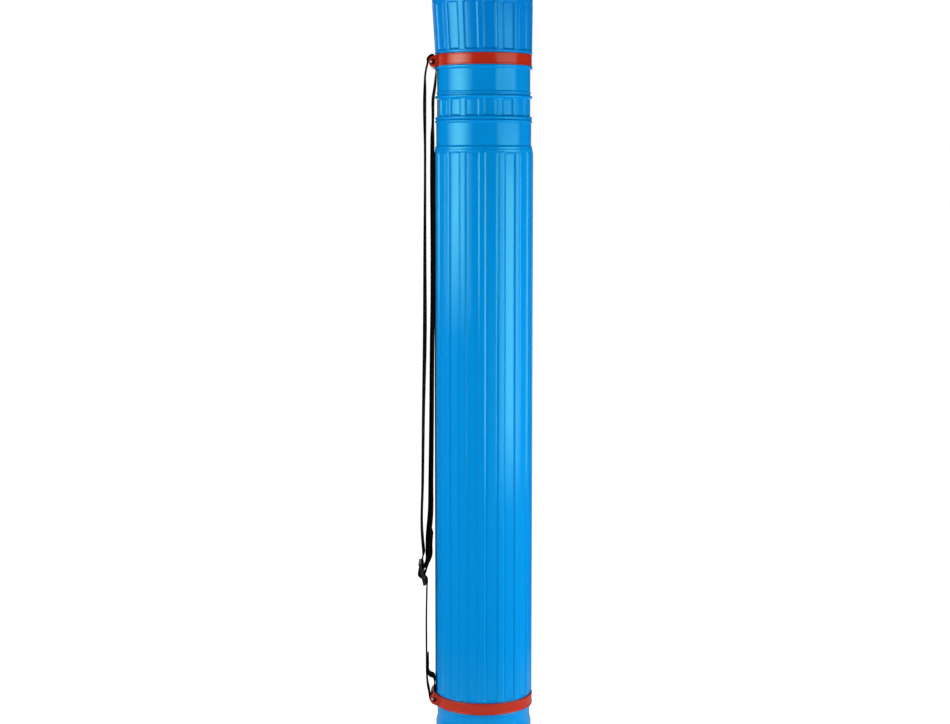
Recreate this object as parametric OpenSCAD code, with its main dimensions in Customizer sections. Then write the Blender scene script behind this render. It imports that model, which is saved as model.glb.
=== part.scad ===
// Telescopic drawing tube, standing on its base: a fluted outer tube, a fluted
// inner tube that slides up out of it, a push-on cap, and a webbing strap on
// two strap rings. The origin is the middle of the underside, +Z is up, the
// front is -Y, and the strap runs down the -X side.

/* [Outer tube] */
// Radius over the raised ribs of the long body
body_rib_r = 50; // [42:0.5:60]
// Height of the body, from the floor to the top of its shoulder
body_h = 603; // [400:1:800]
// Height of the smooth neck above the shoulder, rim bead included
neck_h = 25.2; // [22:0.2:40]
// How far the neck stands in from the ribs
neck_step = 1.95; // [1.6:0.05:2.4]
// Wall of both blown tubes
wall = 1.2; // [0.9:0.05:1.3]
// Wall of the neck, which guides the inner tube
neck_wall = 1.3; // [1.0:0.05:1.5]
// Thickness of the closed floor
floor_t = 1.6; // [1.2:0.1:4]
// Height of the foot below the groove of the lower ring
foot_h = 28.2; // [26:0.2:36]
// Radius of the rounded lower edge of the foot
foot_corner = 6; // [3:0.5:8]

/* [Flutes] */
// Number of ribs around each tube
rib_count = 16; // [12:1:20]
// Width of one rib
rib_w = 7.6; // [5:0.2:9]
// Depth of the panels pressed in between the ribs
flute_depth = 1; // [0.6:0.05:1.1]
// Turn of the body's rib pattern about the axis, away from the front
rib_turn = -1.85; // [-5:0.05:5]
// Turn of the inner tube's ribs against those of the body
slide_turn = -0.95; // [-2:0.05:2]
// Turn of the cap's ribs against those of the body
cap_turn = -1.15; // [-11:0.05:11]
// Length of the sloped end of each panel
panel_slope = 0.8; // [0.4:0.1:2]

/* [Inner tube] */
// Gap between the inner tube's ribs and the neck
neck_gap = 0.35; // [0.25:0.05:0.5]
// Gap between the guide bands and the body's bore
band_gap = 0.4; // [0.3:0.05:0.5]
// Room between the inner tube's end and the step inside the foot
end_room = 1.4; // [1:0.1:20]
// Height of each guide band
band_h = 11; // [8:0.5:16]
// Overlap that stays when the tube is fully drawn out
overlap = 82; // [60:1:120]
// Height of the short fluted band above the stop bead
grip_band_h = 16.4; // [12:0.2:24]
// Height of the smooth band below the upper ring
smooth_band_h = 22; // [16:0.2:30]
// How far the head stands out from the ribs inside
head_step = 0.6; // [0.4:0.05:0.8]

/* [Cap] */
// Height of the cap, from its rim to its top
cap_h = 59.2; // [45:0.2:80]
// How much wider the cap is at its top than at its rim
cap_flare = 1.9; // [0.8:0.1:2.5]
// Wall of the cap
cap_wall = 1.3; // [1.0:0.1:1.5]
// Gap between the cap's skirt and the neck it slides over
cap_gap = 0.4; // [0.3:0.05:0.6]
// Thickness of the cap's top
cap_top_t = 1.6; // [1.2:0.1:3]

/* [Strap rings] */
// Height of each ring's band
ring_h = 11.4; // [10.6:0.2:12.4]
// Thickness of each ring's band
ring_t = 2.4; // [2:0.1:2.6]
// Gap between a ring and the groove it sits in
ring_gap = 0.2; // [0.15:0.05:0.3]
// Length of each ring's lug along the webbing's width
lug_len = 38; // [32:0.5:42]
// Radius of the lug's rounded outside
lug_r = 5.6; // [5.3:0.1:6]
// How far each lug sits off the middle of its ring, towards the other ring
lug_shift = 1.6; // [1:0.1:2]
// Radius of the steel pin in each lug
pin_r = 1.4; // [1.1:0.05:1.4]

/* [Strap] */
// Width of the webbing
web_w = 20; // [16:0.5:22]
// Thickness of the webbing
web_t = 1.4; // [1.0:0.05:1.4]
// Height of the slider's middle at rest
slider_z = 165; // [130:1:220]
// Height of the slider's frame
slider_h = 23; // [22:0.5:27]
// Lean of the slider, its top away from the tube
slider_lean = 13; // [8:1:16]
// Height of the sewn overlap's lower end above the lower lug
sewn_rise = 25.9; // [24:0.1:40]
// Length of the sewn overlap
sewn_h = 17; // [10:0.5:24]

/* [Hidden] */
$fn = 96;
over = 1; // how far a cutter reaches past what it cuts
panel_over = 0.3; // the same for the panels, which end close to beads and bands
arc_n = 8; // steps in a rounded edge of a profile

// Ribs and panels
rib_pitch = 360 / rib_count;
rib_angle = rib_w / body_rib_r * 180 / PI;
panel_angle = rib_pitch - rib_angle;
first_panel = -90 + rib_turn + rib_angle / 2;
back_rib_angle = rib_angle - 2 * wall / body_rib_r * 180 / PI;
body_panel_r = body_rib_r - flute_depth;

// Foot and ring groove of the outer tube
foot_r = body_rib_r - 0.8;
waist_r = body_rib_r - 2.2;
waist_lo = 15.4;
bead_h = 3.4;
waist_hi = foot_h - bead_h - 2;
low_seat_r = body_rib_r - 2;
groove_h = ring_h + 0.6;
groove_top = foot_h + groove_h;
body_edge = 3.2; // height of the rounded lower edge of the body
body_panel_lo = groove_top + 0.6;

// Shoulder, neck and rim of the outer tube
shoulder_r = body_rib_r - 0.6;
shoulder_h = 7;
shoulder_edge = 1.4;
body_panel_hi = body_h - shoulder_h;
neck_r = body_rib_r - neck_step;
neck_bore_r = neck_r - neck_wall;
body_bore_r = body_panel_r - wall;
rim_z = body_h + neck_h;
bead_r = neck_r + 1.1;
bead_round = 1.7;
key_count = 4;
key_z = body_h + 3;
key_h = 8;
key_angle = panel_angle - 5;

// Inner tube
slide_rib_r = neck_bore_r - neck_gap;
slide_panel_r = slide_rib_r - flute_depth;
slide_bore_r = slide_panel_r - wall;
guide_r = body_bore_r - band_gap;
end_z = groove_top + body_edge + wall + end_room;
stop_band_z = end_z + overlap - band_h;
band_land = 1.5; // plain stretch between a band and the panels
slide_panel_lo = stop_band_z + band_h + band_land;
slide_panel_hi = rim_z - band_land;
head_r = slide_rib_r + head_step;
stop_bead_r = neck_r + 0.95;
stop_bead_z = rim_z + bead_round;
grip_lo = rim_z + 4;
grip_hi = grip_lo + grip_band_h;
big_bead_z = grip_hi + 2.2;
big_bead_r = neck_r + 1.05;
small_bead_z = big_bead_z + 4.2;
small_bead_r = head_r + 0.8;
small_bead_round = 1.4;
flange_r = neck_r + 1.15;
flange_z = small_bead_z + 1.5 + smooth_band_h;
flange_h = 3.2;
up_seat_r = head_r - 0.9;
up_ring_z = flange_z + flange_h;
cap_z = up_ring_z + ring_h + 0.5;
mouth_z = cap_z + cap_h - cap_top_t;
mouth_bore_r = up_seat_r - neck_wall;

// Cap
cap_bore_r = up_seat_r + cap_gap;
cap_low_r = cap_bore_r + cap_wall + flute_depth;
cap_rim_h = 2.8;
cap_rim_r = cap_low_r + 0.4;
cap_panel_lo = cap_z + 3;
cap_panel_hi = cap_z + cap_h - 9.9;
cap_top_r = cap_low_r + cap_flare;
cap_corner = 3;
cap_dish = 0.8; // depth of the shallow dish in the cap's top
cap_land = 9; // width of the flat ring round the dish
cap_seat = 3; // how far the cap's underside rests on the mouth

// Strap rings
ring_lip = 0.3; // how far a ring's two edges stand out from its band
ring_edge = 1.1; // height of each raised edge
lug_root = 10; // how far a lug's outline starts inside the band

// Lugs: the webbing's slot lies between the tube and the lug's bar
slot_w = web_w + 1.6;
bar_in = body_rib_r + 1.1;
lug_rho = body_rib_r - 0.6;
lug_out = lug_rho + lug_r;
lug_foot = lug_rho - 3.3; // where a lug's outline leaves the band
lug_clear = 0.3; // gap between a lug and what stands beside its ring
bar_corner = sqrt(lug_r * lug_r - (bar_in - lug_rho) * (bar_in - lug_rho)); // half height of a bar's flat
pin_rho = (bar_in + lug_out) / 2;
pin_gap = 0.05;
pin_len = lug_len - 1;
pocket_depth = 5.6;
pocket_tip = pin_rho - 0.65;
pocket_r = 2.1;
pocket_half = 2.5; // half the height of a pocket
pocket_in = pocket_tip - 4.2; // inner end of a pocket, with two cut corners
low_lug_z = foot_h + ring_h / 2 + lug_shift;
up_lug_z = up_ring_z + ring_h / 2 - lug_shift;

// Webbing
web_gap = 0.15;
web_half = web_t / 2;
layer = web_t + 0.1;
wrap_r = lug_r + web_gap + web_half;
side_r = body_rib_r + web_half; // centre of webbing that lies on the body

// Slider, in its own frame: s runs up the slider, n runs out from the tube
slider_rho = body_rib_r + 13;
bar_r = 1.6;
frame_t = 3;
rail_w = 2.8;
end_bar = slider_h / 2 - frame_t / 2;
behind = -frame_t / 2 - web_gap - web_half; // centre of the layer behind the end bars
loop_r = bar_r + web_gap + web_half;
run_r = loop_r + 1.1 * layer;
join_z = slider_z + 20; // where the runs of the upper loop meet the webbing in the slider
leave_z = slider_z - 15; // where the lower run leaves it
out_join = slider_rho - 1.4;
in_join = slider_rho - 5.6;
low_join = slider_rho - 4.4;

// Points of an arc about c, from one angle to another
function arc(c, r, from, to, n = arc_n) =
    [for (i = [0:n]) let (a = from + (to - from) * i / n) [c[0] + r * cos(a), c[1] + r * sin(a)]];

// Outline of a round bead of radius round that stands out of a wall at wall_r
function bead(wall_r, top_r, z, round) =
    let (c = top_r - round, half = acos((wall_r - c) / round)) arc([c, z], round, -half, half);

// Direction of a smooth curve at its point i; the shorter neighbour weighs more
function direction(p, i) =
    let (last = len(p) - 1,
         a = p[max(i, 1)] - p[max(i, 1) - 1],
         b = p[min(i, last - 1) + 1] - p[min(i, last - 1)],
         d = a * norm(b) / norm(a) + b * norm(a) / norm(b))
    d / norm(d);

// A point of the smooth curve at the share t of the way from point i to the next
function between(p, i, t) =
    let (reach = norm(p[i + 1] - p[i]))
    p[i] * (2 * t * t * t - 3 * t * t + 1) + p[i + 1] * (3 * t * t - 2 * t * t * t)
    + direction(p, i) * reach * (t * t * t - 2 * t * t + t)
    + direction(p, i + 1) * reach * (t * t * t - t * t);

// A smooth curve through all the points, n steps from one to the next
function smooth(p, n = 4) =
    [for (i = [0:len(p) - 2]) for (k = [0:n - 1]) between(p, i, k / n), p[len(p) - 1]];

// Unit normal of a line of points at point i. The two ends are cut level, so
// that one ribbon ends face to face with the next.
function normal_at(p, i) =
    let (last = len(p) - 1, d = p[min(i + 1, last)] - p[max(i - 1, 0)])
    i == 0 || i == last ? [-sign(d[1]), 0] : [-d[1], d[0]] / norm(d);

// Outline of a ribbon of thickness t whose middle follows the points
function ribbon(p, t) =
    concat([for (i = [0:len(p) - 1]) p[i] + normal_at(p, i) * t / 2],
           [for (i = [len(p) - 1:-1:0]) p[i] - normal_at(p, i) * t / 2]);

// A point of the slider's frame, in distance from the axis and height
function at_slider(s, n) =
    [slider_rho + s * sin(slider_lean) + n * cos(slider_lean),
     slider_z + s * cos(slider_lean) - n * sin(slider_lean)];

// Points round the slider's middle bar; the angle is 0 upwards and 90 outwards
function round_bar(r, from, to, n) = [for (p = arc([0, 0], r, from, to, n)) at_slider(p[0], p[1])];

// Draws an outline, given in distance from the axis and height, on the strap's side
module on_strap_side(width) {
    mirror([1, 0, 0])
        rotate([90, 0, 0])
            linear_extrude(width, center = true)
                children();
}

module webbing(points) {
    on_strap_side(web_w) polygon(ribbon(points, web_t));
}

// Cutters for the panels between the ribs, with sloped ends. The ribs stand at
// low_r at the bottom and high_r at the top, turned against the body's ribs.
module panels(low_r, high_r, z0, z1, turn = 0) {
    slope = panel_slope * (flute_depth + panel_over) / flute_depth;
    for (i = [0:rib_count - 1])
        rotate([0, 0, first_panel + turn + i * rib_pitch])
            rotate_extrude(angle = panel_angle)
                polygon([[low_r - flute_depth, z0 + panel_slope],
                         [low_r + panel_over, z0 + panel_slope - slope],
                         [high_r + panel_over, z1 - panel_slope + slope],
                         [high_r - flute_depth, z1 - panel_slope]]);
}

// Cutters for the hollow backs of the ribs, inside a tube
module rib_backs(bore_r, z0, z1, turn = 0) {
    for (i = [0:rib_count - 1])
        rotate([0, 0, first_panel + turn - (rib_angle + back_rib_angle) / 2 + i * rib_pitch])
            rotate_extrude(angle = back_rib_angle)
                polygon([[bore_r - over, z0 + panel_slope],
                         [bore_r + flute_depth, z0 + 2 * panel_slope],
                         [bore_r + flute_depth, z1 - 2 * panel_slope],
                         [bore_r - over, z1 - panel_slope]]);
}

module outer_tube() {
    color([0.01, 0.51, 0.81])
        difference() {
            rotate_extrude()
                polygon(concat(
                    [[0, 0]],
                    arc([foot_r - foot_corner, foot_corner], foot_corner, -90, 0),
                    [[foot_r, foot_corner + 3], [waist_r, waist_lo], [waist_r, waist_hi]],
                    bead(waist_r, foot_r, foot_h - bead_h / 2, bead_round),
                    [[low_seat_r, foot_h], [low_seat_r, groove_top],
                     [body_rib_r - 1.2, groove_top], [body_rib_r - 0.4, groove_top + body_edge / 3],
                     [body_rib_r, groove_top + body_edge], [body_rib_r, body_panel_hi - 0.6],
                     [shoulder_r, body_panel_hi], [shoulder_r, body_h - shoulder_edge], [neck_r, body_h]],
                    bead(neck_r, bead_r, rim_z - bead_round, bead_round),
                    [[neck_r, rim_z], [0, rim_z]]));
            panels(body_rib_r, body_rib_r, body_panel_lo, body_panel_hi);
            outer_tube_hollow();
        }
}

// The inside of the outer tube: it follows the foot, the waist, the ring's
// groove, the ribs and the neck, and leaves four keys standing in the neck.
module outer_tube_hollow() {
    groove_bore_r = low_seat_r - wall;
    difference() {
        rotate_extrude()
            polygon(concat(
                [[0, floor_t]],
                arc([foot_r - foot_corner, foot_corner], foot_corner - floor_t, -90, 0),
                [[foot_r - floor_t, foot_corner + 3], [waist_r - wall, waist_lo],
                 [groove_bore_r, foot_h], [groove_bore_r, groove_top],
                 [body_bore_r, groove_top + body_edge + wall],
                 [body_bore_r, body_h - shoulder_edge - 1], [neck_bore_r, body_h],
                 [neck_bore_r, rim_z + over], [0, rim_z + over]]));
        for (i = [0:key_count - 1])
            rotate([0, 0, first_panel + slide_turn + (panel_angle - key_angle) / 2 + i * 360 / key_count])
                rotate_extrude(angle = key_angle)
                    translate([slide_panel_r + neck_gap, key_z])
                        square([wall + over, key_h]);
    }
    rib_backs(body_bore_r, groove_top + body_edge + wall, body_panel_hi);
}

module inner_tube() {
    color([0.01, 0.51, 0.81])
        difference() {
            rotate_extrude()
                polygon(concat(
                    [[0, end_z], [guide_r - 1, end_z], [guide_r, end_z + 1],
                     [guide_r, end_z + band_h - 1], [slide_rib_r, end_z + band_h],
                     [slide_rib_r, stop_band_z], [guide_r, stop_band_z + 1],
                     [guide_r, stop_band_z + band_h], [slide_rib_r, stop_band_z + band_h],
                     [slide_rib_r, rim_z], [neck_r - 0.3, rim_z]],
                    bead(head_r, stop_bead_r, stop_bead_z, bead_round),
                    bead(head_r, big_bead_r, big_bead_z, bead_round),
                    bead(head_r, small_bead_r, small_bead_z, small_bead_round),
                    [[head_r, flange_z], [flange_r - 0.5, flange_z],
                     [flange_r, flange_z + 0.9], [flange_r, up_ring_z - 0.9],
                     [flange_r - 0.5, up_ring_z], [up_seat_r, up_ring_z],
                     [up_seat_r, mouth_z - 0.6], [up_seat_r - 0.6, mouth_z], [0, mouth_z]]));
            panels(slide_rib_r, slide_rib_r, end_z + band_h + band_land, stop_band_z - band_land,
                   slide_turn);
            panels(slide_rib_r, slide_rib_r, slide_panel_lo, slide_panel_hi, slide_turn);
            panels(head_r, head_r, grip_lo, grip_hi, slide_turn);
            inner_tube_hollow();
            strap_notch();
        }
}

// The bore of the inner tube, open at both ends
module inner_tube_hollow() {
    rotate_extrude()
        polygon([[0, end_z - over], [guide_r - wall, end_z - over],
                 [guide_r - wall, end_z + band_h - 2], [slide_bore_r, end_z + band_h],
                 [slide_bore_r, stop_band_z], [guide_r - wall, stop_band_z + 2],
                 [guide_r - wall, stop_band_z + band_h - 2],
                 [slide_bore_r, stop_band_z + band_h], [slide_bore_r, flange_z - 2],
                 [mouth_bore_r, flange_z], [mouth_bore_r, mouth_z + over],
                 [0, mouth_z + over]]);
    rib_backs(slide_bore_r, slide_panel_lo, slide_panel_hi, slide_turn);
}

// The gap in the flange that lets the webbing down from the upper lug
module strap_notch() {
    translate([-flange_r - over, -slot_w / 2, flange_z - over])
        cube([flange_r + over - head_r - 0.1, slot_w, flange_h + 2 * over]);
}

module cap() {
    color([0.01, 0.47, 0.77])
        difference() {
            rotate_extrude()
                polygon(concat(
                    [[0, cap_z], [cap_rim_r - 0.8, cap_z], [cap_rim_r, cap_z + 0.8],
                     [cap_rim_r, cap_z + cap_rim_h - 0.8], [cap_low_r, cap_z + cap_rim_h]],
                    arc([cap_top_r - cap_corner, cap_z + cap_h - cap_corner], cap_corner, 0, 90),
                    [[cap_top_r - cap_land, cap_z + cap_h],
                     [cap_top_r - cap_land - 2 * cap_dish, cap_z + cap_h - cap_dish],
                     [0, cap_z + cap_h - cap_dish]]));
            panels(cap_low_r, cap_top_r, cap_panel_lo, cap_panel_hi, cap_turn);
            cap_hollow();
        }
}

module cap_hollow() {
    shrink = flute_depth + cap_wall;
    rotate_extrude()
        polygon([[0, cap_z - over], [cap_bore_r, cap_z - over], [cap_bore_r, cap_z + cap_rim_h],
                 [cap_top_r - shrink, mouth_z - cap_corner], [cap_top_r - shrink - 2, mouth_z],
                 [up_seat_r - cap_seat, mouth_z], [up_seat_r - cap_seat - 0.5, mouth_z - cap_dish],
                 [0, mouth_z - cap_dish]]);
}

// A strap ring about its own middle: a band with a lug across it, whose bar the
// webbing goes round. Above the ring the lug keeps clear of a wall at wall_r.
module strap_ring(seat_r, wall_r) {
    inner_r = seat_r + ring_gap;
    outer_r = inner_r + ring_t;
    face_r = outer_r - ring_lip;
    half_h = ring_h / 2;
    difference() {
        union() {
            rotate_extrude()
                polygon([[inner_r, -half_h], [face_r, -half_h], [outer_r, ring_lip - half_h],
                         [outer_r, ring_edge - half_h], [face_r, ring_edge + ring_lip - half_h],
                         [face_r, half_h - ring_edge - ring_lip], [outer_r, half_h - ring_edge],
                         [outer_r, half_h - ring_lip], [face_r, half_h], [inner_r, half_h]]);
            on_strap_side(lug_len) polygon(lug_outline(inner_r, half_h));
        }
        cylinder(r = inner_r, h = ring_h + 2 * over, center = true);
        translate([0, 0, half_h]) cylinder(r = wall_r + lug_clear, h = lug_r);
        on_strap_side(slot_w)
            translate([inner_r - lug_root, -half_h - 3 * over])
                square([bar_in - inner_r + lug_root, ring_h + 6 * over]);
        on_strap_side(lug_len + 2 * over) translate([pin_rho, lug_shift]) circle(pin_r + pin_gap);
        for (side = [-1, 1])
            translate([0, side * (lug_len / 2 - pocket_depth / 2 + over / 2), 0])
                on_strap_side(pocket_depth + over) polygon(lug_pocket());
    }
}

// Outline of a lug: round outside, and drawn out to both edges of the band
function lug_outline(inner_r, half_h) =
    let (low = [lug_foot - lug_rho, -half_h - lug_shift],
         from = atan2(low[1], low[0]) + acos(lug_r / norm(low)),
         to = 180 - asin((half_h - lug_shift) / lug_r))
    concat([[inner_r - lug_root, -half_h], [lug_foot, -half_h]],
           arc([lug_rho, lug_shift], lug_r, from, to, 5 * arc_n),
           [[inner_r - lug_root, half_h]]);

// Outline of the pocket round a pin's end
function lug_pocket() =
    concat(arc([pocket_tip, lug_shift], pocket_r, -60, 60),
           [[pocket_tip - 1, lug_shift + pocket_half], [pocket_in + 1.2, lug_shift + pocket_half],
            [pocket_in, lug_shift + pocket_half / 2], [pocket_in, lug_shift - pocket_half / 2],
            [pocket_in + 1.2, lug_shift - pocket_half], [pocket_tip - 1, lug_shift - pocket_half]]);

module strap_pin(lug_z) {
    color([0.78, 0.78, 0.8])
        on_strap_side(pin_len) translate([pin_rho, lug_z]) circle(pin_r);
}

module lower_strap_ring() {
    color([0.75, 0.16, 0.1])
        translate([0, 0, foot_h + ring_h / 2]) strap_ring(low_seat_r, body_rib_r);
}

module upper_strap_ring() {
    color([0.75, 0.16, 0.1])
        translate([0, 0, up_ring_z + ring_h / 2]) mirror([0, 0, 1]) strap_ring(up_seat_r, flange_r);
}

module lower_strap_pin() {
    strap_pin(low_lug_z);
}

module upper_strap_pin() {
    strap_pin(up_lug_z);
}

// Height at a share of the way from the slider's webbing up to the upper lug
function run_z(share) = join_z + share * (up_lug_z - join_z);

// The doubled webbing that hangs from the upper lug: up from the slider on
// the outside, over the lug's bar, and back down beside the tube
module strap_upper_loop() {
    top = up_lug_z;
    out_run = smooth([[out_join, join_z], [slider_rho + 0.4, run_z(0.044)],
                      [slider_rho - 0.4, run_z(0.152)], [slider_rho - 1.4, run_z(0.29)],
                      [slider_rho - 3, run_z(0.449)], [slider_rho - 3.3, run_z(0.619)],
                      [slider_rho - 3.8, run_z(0.82)], [slider_rho - 3.8, top - 26],
                      [lug_rho + wrap_r + 2.7, top - 10], [lug_rho + wrap_r + 1.5, top - 4]]);
    over_bar = concat(arc([lug_rho, top], wrap_r, 17, 66, 8),
                      arc([bar_in, top + bar_corner], web_gap + web_half, 75, 170, 3));
    in_slot = smooth([[bar_in - web_gap - web_half, top + bar_corner - 0.8],
                      [bar_in - web_gap - web_half - 0.3, top + 1],
                      [head_r + 0.95, top - 6], [head_r + 0.95, top - 12],
                      [head_r + 1.8, top - 22], [side_r - 0.3, top - 36], [side_r + 0.1, top - 53]]);
    in_run = smooth([[side_r + 0.5, top - 62], [side_r + 0.6, run_z(0.82)],
                     [side_r + 0.6, run_z(0.619)], [side_r + 1.5, run_z(0.521)],
                     [side_r + 3.2, run_z(0.419)], [side_r + 4, run_z(0.29)],
                     [side_r + 4.4, run_z(0.152)], [side_r + 4.2, run_z(0.08)],
                     [in_join, join_z]]);
    color([0.05, 0.05, 0.055]) webbing(concat(out_run, over_bar, in_slot, in_run));
}

// The webbing threaded through the slider: the running length passes behind
// both end bars and over the middle bar, and the sewn end is looped round it
module strap_slider_wrap() {
    back = end_bar + frame_t / 2;
    near = end_bar - frame_t / 2 - 0.5;
    second = behind - 1.95 * layer; // the sewn end's layers behind the running one
    third = behind - 3.2 * layer;
    running = smooth(concat([[low_join, leave_z], at_slider(-back, behind), at_slider(-near, behind)],
                            round_bar(run_r, 133, 47, 6),
                            [at_slider(near, behind), at_slider(back, behind), [out_join, join_z]]), 2);
    sewn = smooth(concat([[in_join, join_z], at_slider(near, second)],
                         round_bar(loop_r, 44, 242, 10),
                         [at_slider(near, third), [in_join - 1.5 * layer, join_z],
                          [side_r + 1.2, join_z + 24]]), 2);
    color([0.05, 0.05, 0.055]) {
        webbing(running);
        webbing(sewn);
    }
}

// The single webbing from the slider down to the lower lug, round its bar and
// back up, where its end is sewn to itself
module strap_lower_run() {
    sewn_lo = low_lug_z + sewn_rise;
    sewn_hi = sewn_lo + sewn_h;
    inner = low_join - layer;
    slot_rho = bar_in - web_gap - web_half;
    down = smooth([[low_join, leave_z], [low_join + 0.6, (leave_z + sewn_hi) / 2],
                   [low_join + 0.5, sewn_hi], [low_join + 0.4, sewn_lo],
                   [low_join - 0.5, low_lug_z + 12.4], [lug_rho + wrap_r + 0.6, low_lug_z + 3.6]]);
    under_bar = concat(arc([lug_rho, low_lug_z], wrap_r, -10, -66, 8),
                       arc([bar_in, low_lug_z - bar_corner], web_gap + web_half, -75, -170, 3));
    up = smooth([[slot_rho, low_lug_z - bar_corner + 0.8], [slot_rho - 0.15, low_lug_z],
                 [slot_rho - 0.1, low_lug_z + bar_corner - 0.8], [side_r + 0.3, low_lug_z + 8],
                 [side_r + 0.4, sewn_lo - 8.4], [side_r + 1.5, sewn_lo - 5.3],
                 [side_r + 4, sewn_lo - 3.9], [inner - 0.7, sewn_lo - 1.7],
                 [inner + 0.2, sewn_lo + sewn_h / 3], [inner + 0.4, sewn_lo + sewn_h * 2 / 3],
                 [inner + 0.45, sewn_hi]]);
    color([0.05, 0.05, 0.055]) webbing(concat(down, under_bar, up));
}

// A three-bar slider: a frame with two end bars and a round middle bar
module strap_slider() {
    color([0.09, 0.09, 0.1])
        translate([-slider_rho, 0, slider_z])
            rotate([0, -slider_lean, 0]) {
                for (side = [-1, 1])
                    translate([-frame_t / 2, side * (slot_w / 2 + rail_w / 2) - rail_w / 2, -slider_h / 2])
                        cube([frame_t, rail_w, slider_h]);
                for (end = [-1, 1])
                    translate([-frame_t / 2, -slot_w / 2 - over, end * end_bar - frame_t / 2])
                        cube([frame_t, slot_w + 2 * over, frame_t]);
                rotate([90, 0, 0]) cylinder(r = bar_r - 0.1, h = slot_w + 2 * over, center = true);
            }
}

outer_tube();
inner_tube();
cap();
lower_strap_ring();
upper_strap_ring();
lower_strap_pin();
upper_strap_pin();
strap_upper_loop();
strap_slider_wrap();
strap_lower_run();
strap_slider();
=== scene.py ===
"""Looks of the telescopic drawing tube: moulded plastic, webbing, light and camera.

Lengths of the shapes are millimetres, as in the part's source, and become metres when a mesh is
made. Materials, lamps, floor and camera are in metres. An angle round the tube is counted in
degrees from the front (-Y), positive towards +X, and the strap is on the -X side.
"""

import math

import bpy
import numpy as np
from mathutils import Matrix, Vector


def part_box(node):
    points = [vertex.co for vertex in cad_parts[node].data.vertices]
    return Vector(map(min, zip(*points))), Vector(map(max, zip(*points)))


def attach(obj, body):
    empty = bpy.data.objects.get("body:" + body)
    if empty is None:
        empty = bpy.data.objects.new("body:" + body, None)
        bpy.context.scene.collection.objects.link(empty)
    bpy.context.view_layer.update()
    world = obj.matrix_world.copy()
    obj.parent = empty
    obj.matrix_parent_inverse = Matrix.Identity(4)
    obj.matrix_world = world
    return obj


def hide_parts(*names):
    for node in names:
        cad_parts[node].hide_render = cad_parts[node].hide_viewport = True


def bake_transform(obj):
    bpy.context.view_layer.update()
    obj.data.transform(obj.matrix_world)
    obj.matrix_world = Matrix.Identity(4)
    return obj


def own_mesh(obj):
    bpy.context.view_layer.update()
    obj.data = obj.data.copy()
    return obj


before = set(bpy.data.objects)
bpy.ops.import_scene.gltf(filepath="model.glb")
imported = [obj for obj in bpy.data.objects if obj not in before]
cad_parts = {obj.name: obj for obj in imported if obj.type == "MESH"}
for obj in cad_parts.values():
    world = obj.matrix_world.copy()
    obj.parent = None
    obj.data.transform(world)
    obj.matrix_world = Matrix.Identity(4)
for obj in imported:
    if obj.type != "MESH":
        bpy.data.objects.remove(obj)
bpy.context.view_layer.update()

MM = 0.001

# Sizes read from the frame
rib_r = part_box("outer_tube")[1].x / MM
rim_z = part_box("outer_tube")[1].z / MM
end_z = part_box("inner_tube")[0].z / MM
mouth_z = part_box("inner_tube")[1].z / MM
cap_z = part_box("cap")[0].z / MM
top_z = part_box("cap")[1].z / MM
cap_top_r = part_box("cap")[1].x / MM
low_ring_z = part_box("lower_strap_ring")[0].z / MM
up_ring_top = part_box("upper_strap_ring")[1].z / MM

# Flutes
RIB_COUNT = 16
PITCH = 360 / RIB_COUNT
RIB_TURN = -2.2  # angle of the outer tube's first rib
SLIDE_TURN = RIB_TURN - 1.2  # the same on the inner tube
CAP_TURN = RIB_TURN - 1.0  # the same on the cap
RIB_HALF = 3.7  # half a rib's width, in degrees
BACK_HALF = 2.98  # half the width of the hollow behind a rib
FLUTE = 1.0  # depth of a panel
FLANK = 1.6  # width of the slope between a rib and a panel
END_SLOPE = 1.0  # the same at a panel's two ends
SOFT = 0.34  # rounding of the slope's two edges, as a share of it
CREASE = 0.36  # depth of the crease at the slope's foot, as a share of the panel's depth
CREASE_W = 0.42
PANEL_CORNER = 2.0  # radius of a panel's corners

# Walls and levels of the tubes
WALL = 1.2
BEAD_R = 1.7
RING_H = 11.4
RING_PLAY = 0.6  # room above the lower ring in its groove
NECK_H = 25.2
SHOULDER_H = 7.0
BODY_H = rim_z - NECK_H
GROOVE_LO = low_ring_z
GROOVE_HI = GROOVE_LO + RING_H + RING_PLAY
BODY_EDGE = 3.2  # height of the body's rounded lower edge
SEAT_R = rib_r - 2
WAIST_R = rib_r - 2.2
FOOT_R = rib_r - 0.8
NECK_R = rib_r - 1.95
NECK_BORE_R = NECK_R - 1.3
BODY_BORE_R = rib_r - FLUTE - WALL
SLIDE_R = NECK_BORE_R - 0.35
SLIDE_BORE_R = SLIDE_R - FLUTE - WALL
GUIDE_R = BODY_BORE_R - 0.4
HEAD_R = SLIDE_R + 0.6
UP_SEAT_R = HEAD_R - 0.9
UP_RING_Z = up_ring_top - RING_H
BAND_H = 11
OVERLAP = 82  # what stays inside the outer tube at full travel
STOP_BAND_Z = end_z + OVERLAP - BAND_H
CAP_LEAN = 1.6  # how far the cap's top stands off to the strap's side

# Lugs and pins
STRAP_SIDE = 270  # angle of the strap's side
LUG_R = 5.6
LUG_SHIFT = 1.6  # how far a lug sits off the middle of its ring
LUG_RHO = rib_r - 0.6  # distance of the lug's round part from the axis
BAR_IN = rib_r + 1.1  # inner side of the bar that the webbing turns round
BAR_CORNER = math.sqrt(LUG_R**2 - (BAR_IN - LUG_RHO) ** 2)  # half the bar's height on that side
PIN_R = 1.4
PIN_HALF = 18.5  # half a pin's length
PIN_DOME = 0.45  # rise of its domed ends
low_lug_z = low_ring_z + RING_H / 2 + LUG_SHIFT
up_lug_z = UP_RING_Z + RING_H / 2 - LUG_SHIFT

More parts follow.
